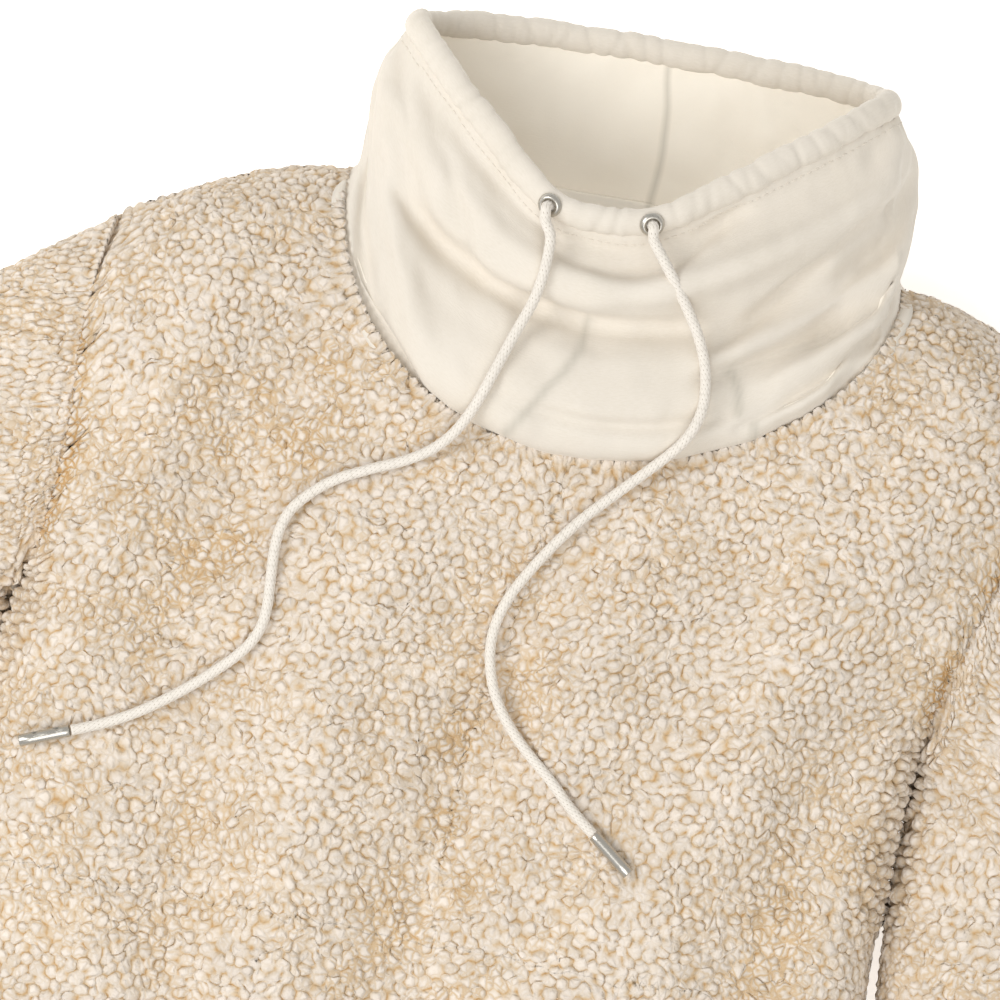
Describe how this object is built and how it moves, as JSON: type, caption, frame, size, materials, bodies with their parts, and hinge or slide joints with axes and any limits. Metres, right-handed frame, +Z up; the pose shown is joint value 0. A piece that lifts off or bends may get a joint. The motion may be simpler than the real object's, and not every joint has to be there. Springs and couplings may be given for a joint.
{
  "type": "sherpa fleece pullover",
  "caption": "Sherpa fleece pullover with a high drawcord collar of smooth knit, lying on its back, lightly filled out and hollow.",
  "frame": {"origin": "centre of the garment's outline, on the surface that its back rests on", "axes": "+Z up out of the chest, +Y from the hem to the head, +X across the body"},
  "size_m": [0.7438, 0.6937, 0.0982],
  "materials": {
    "sherpa_fleece": "nubby pile",
    "ivory_knit": "smooth brushed knit",
    "braided_cord": "round braid",
    "nickel": "polished nickel plate"
  },
  "bodies": {
    "root": {"front": "sherpa_fleece", "back": "sherpa_fleece", "sleeve_left": "sherpa_fleece", "sleeve_right": "sherpa_fleece", "collar": "ivory_knit", "drawcord_casing": "ivory_knit", "eyelet_left": "nickel", "eyelet_right": "nickel", "cord_left": "braided_cord", "cord_right": "braided_cord", "cord_tip_left": "nickel", "cord_tip_right": "nickel"}
  },
  "joints": []
}
